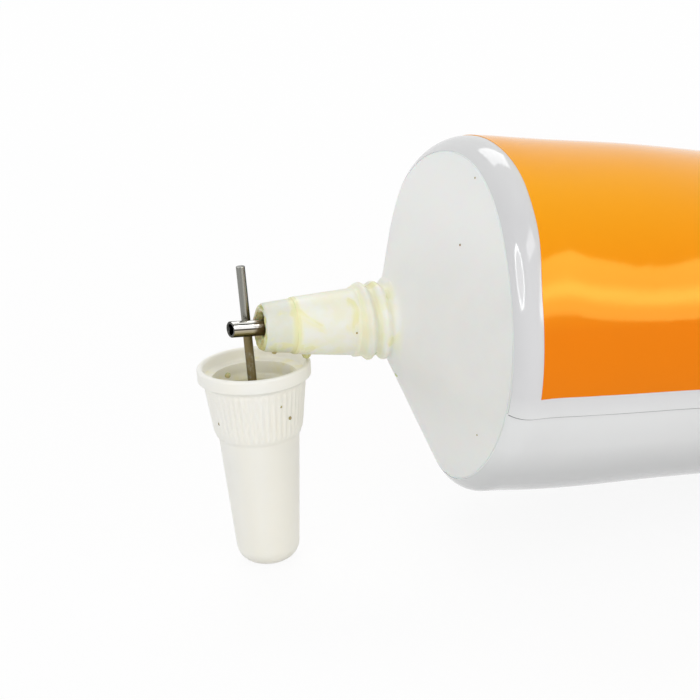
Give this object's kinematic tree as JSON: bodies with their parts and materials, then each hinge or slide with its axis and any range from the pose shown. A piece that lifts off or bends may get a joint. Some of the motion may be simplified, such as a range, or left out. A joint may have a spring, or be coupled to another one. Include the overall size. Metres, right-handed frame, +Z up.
{
  "type": "glue tube",
  "caption": "Squeeze tube of glue on its side, with a conical shoulder, threaded neck and steel needle nozzle; its screw cap with a steel pin stands mouth up under the nozzle.",
  "frame": {"origin": "middle of the footprint, on the table that the tail and the cap stand on", "axes": "+X from the nozzle to the tail, +Y away from the viewer, +Z up"},
  "size_m": [0.178, 0.0596, 0.0436],
  "materials": {
    "sleeve_laminate": "glossy white laminate",
    "orange_print": "glossy orange print",
    "shoulder_plastic": "satin moulded plastic with dried glue on the nozzle",
    "hub_plastic": "moulded plastic stained by glue",
    "needle_steel": "drawn stainless tube",
    "glue": "clear yellowish glue",
    "cap_plastic": "satin off-white moulded plastic",
    "pin_steel": "drawn steel wire"
  },
  "bodies": {
    "tube": {"sleeve": "sleeve_laminate", "label": "orange_print", "shoulder": "shoulder_plastic", "needle_hub": "hub_plastic", "needle": "needle_steel", "adhesive_fill": "glue"},
    "pin": {"cap_pin": "pin_steel"},
    "cap": {"cap_shell": "cap_plastic"}
  },
  "joints": [
    {"name": "cap_slide", "type": "slide", "parent": "tube", "child": "pin", "axis": [-1, 0, 0], "range_m": [0, 0.04]},
    {"name": "cap_turn", "type": "hinge", "parent": "pin", "child": "cap", "pos_m": [-0.083, 0.00153, 0], "axis": [0, 0, 1], "continuous": true}
  ]
}
